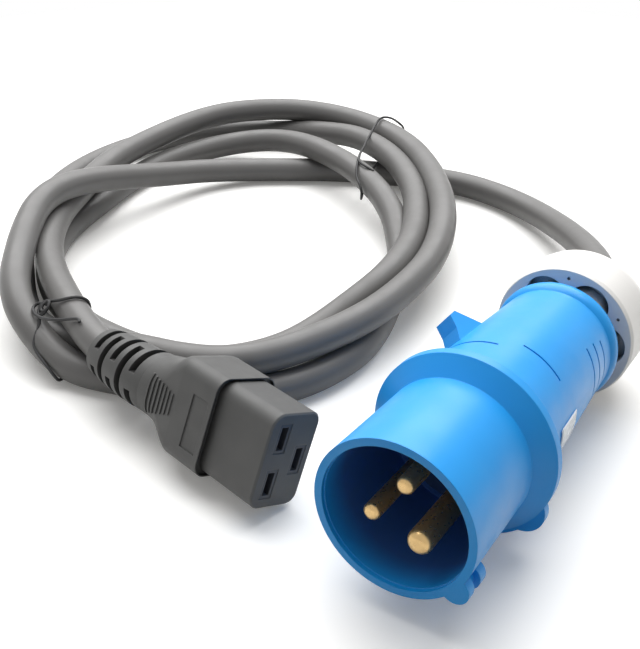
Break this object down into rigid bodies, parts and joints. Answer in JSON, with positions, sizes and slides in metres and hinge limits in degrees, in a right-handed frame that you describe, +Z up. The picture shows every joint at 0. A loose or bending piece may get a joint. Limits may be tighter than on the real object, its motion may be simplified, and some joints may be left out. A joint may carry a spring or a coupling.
{
  "type": "c19 power connector on a coiled cord",
  "caption": "Moulded rectangular C19 power connector with a slotted strain relief boot, on a tied coil of round black cord that ends in a round blue pin plug with a shroud.",
  "frame": {"origin": "on the floor under the middle of the connector, the bottom centre of the connector's box", "axes": "+X along the connector's axis and out of its mating face, +Z up from the floor, +Y to the left of +X, towards the cord's coil"},
  "size_m": [0.3075, 0.2196, 0.0513],
  "materials": {
    "connector_plastic": "fine matte moulding",
    "carrier_plastic": "matte",
    "contact_brass": "bare rolled strip",
    "line_insulation": "satin",
    "neutral_insulation": "satin",
    "earth_insulation": "satin",
    "cord_jacket": "matte jacket",
    "tie_plastic": "satin",
    "plug_blue": "satin moulding",
    "pin_carrier_blue": "matte",
    "pin_brass": "turned, bright",
    "screw_steel": "zinc plated",
    "cap_grey": "satin moulding",
    "seal_rubber": "matte",
    "patch_film": "bare film"
  },
  "bodies": {
    "root": {"connector_body": "connector_plastic", "contact_carrier": "carrier_plastic", "line_contact": "contact_brass", "neutral_contact": "contact_brass", "earth_contact": "contact_brass", "line_lead": "line_insulation", "neutral_lead": "neutral_insulation", "earth_lead": "earth_insulation", "cord_lead_run": "cord_jacket", "cord_coil": "cord_jacket", "cord_plug_run": "cord_jacket", "tie_left": "tie_plastic", "tie_right": "tie_plastic", "plug_housing": "plug_blue", "pin_carrier": "pin_carrier_blue", "line_pin": "pin_brass", "neutral_pin": "pin_brass", "earth_pin": "pin_brass", "line_terminal_screw": "screw_steel", "neutral_terminal_screw": "screw_steel", "earth_terminal_screw": "screw_steel", "gland_cap": "cap_grey", "cord_seal": "seal_rubber", "label_patch": "patch_film", "line_plug_core": "line_insulation", "neutral_plug_core": "neutral_insulation", "earth_plug_core": "earth_insulation"}
  },
  "joints": []
}
